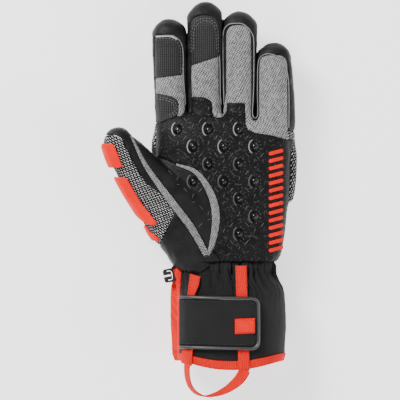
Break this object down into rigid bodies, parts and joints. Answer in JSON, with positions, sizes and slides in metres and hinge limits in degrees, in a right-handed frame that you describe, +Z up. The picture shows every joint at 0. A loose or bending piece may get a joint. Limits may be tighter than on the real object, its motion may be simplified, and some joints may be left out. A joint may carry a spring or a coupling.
{
  "type": "ski racing glove",
  "caption": "Padded left-hand ski glove, palm up, with leather palm, grey finger fronts, red thumb protectors, cuff with closing strap, pull loop and clip.",
  "frame": {"origin": "centre of the glove's box, on the surface that its back lies on", "axes": "+X towards the little finger, +Y towards the fingertips, +Z up, out of the palm"},
  "size_m": [0.1521, 0.3069, 0.058],
  "materials": {
    "leather": "grained, satin",
    "grey_cloth": "heather twill",
    "grip_cloth": "ribbed grip",
    "knit": "black and white knit",
    "shell_cloth": "soft shell",
    "red_protector": "satin",
    "red_webbing": "woven",
    "black_plastic": "satin"
  },
  "bodies": {
    "root": {"palm_panel": "leather", "thumb_leaf": "leather", "thumb_tip": "leather", "thumb_base_patch": "leather", "index_back": "leather", "middle_back": "leather", "ring_back": "leather", "little_back": "leather", "strap_edging": "leather", "clip_tab": "leather", "index_front": "grey_cloth", "middle_front": "grey_cloth", "ring_front": "grey_cloth", "little_front": "grey_cloth", "thumb_band": "grey_cloth", "thenar_band": "grey_cloth", "index_tip_patch": "grip_cloth", "index_base_patch": "grip_cloth", "middle_tip_patch": "grip_cloth", "thumb_knit": "knit", "back_panel": "knit", "cuff": "shell_cloth", "strap_tab": "shell_cloth", "thumb_pad_tip": "red_protector", "thumb_pad_base": "red_protector", "hand_pad": "red_protector", "strap_pull_patch": "red_protector", "side_binding": "red_webbing", "hem_binding": "red_webbing", "pull_webbing": "red_webbing", "glove_clip": "black_plastic"}
  },
  "joints": []
}
